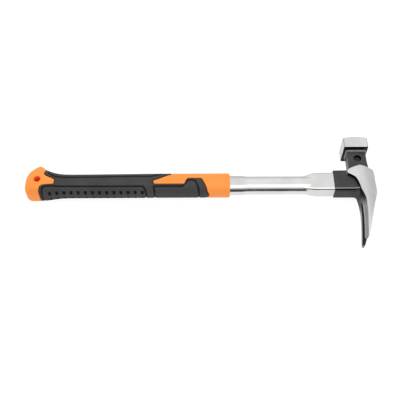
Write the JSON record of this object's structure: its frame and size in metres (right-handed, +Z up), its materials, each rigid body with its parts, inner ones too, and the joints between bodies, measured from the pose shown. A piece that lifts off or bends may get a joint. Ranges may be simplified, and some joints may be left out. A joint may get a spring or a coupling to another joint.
{
  "type": "claw hammer",
  "caption": "Claw hammer with a square face, straight claws, a tubular steel handle and a two-colour hard and soft grip.",
  "frame": {"origin": "middle of the base of the bounding box, with the hammer lying on its side", "axes": "+X along the handle towards the head, +Y the way the striking face looks, +Z up through the thickness of the head"},
  "size_m": [0.3979, 0.1356, 0.0282],
  "materials": {
    "head_steel": "polished forged steel, satin black paint on the neck and collar",
    "magnet": "dark sintered magnet",
    "tube_steel": "polished",
    "wedge_steel": "ground",
    "plug_plastic": "matt",
    "orange_plastic": "satin moulded",
    "black_rubber": "soft, fine texture"
  },
  "bodies": {
    "root": {"hammer_head": "head_steel", "nail_magnet": "magnet", "handle_tube": "tube_steel", "eye_wedge": "wedge_steel", "tube_end_plug": "plug_plastic", "grip_core": "orange_plastic", "soft_grip": "black_rubber"}
  },
  "joints": []
}
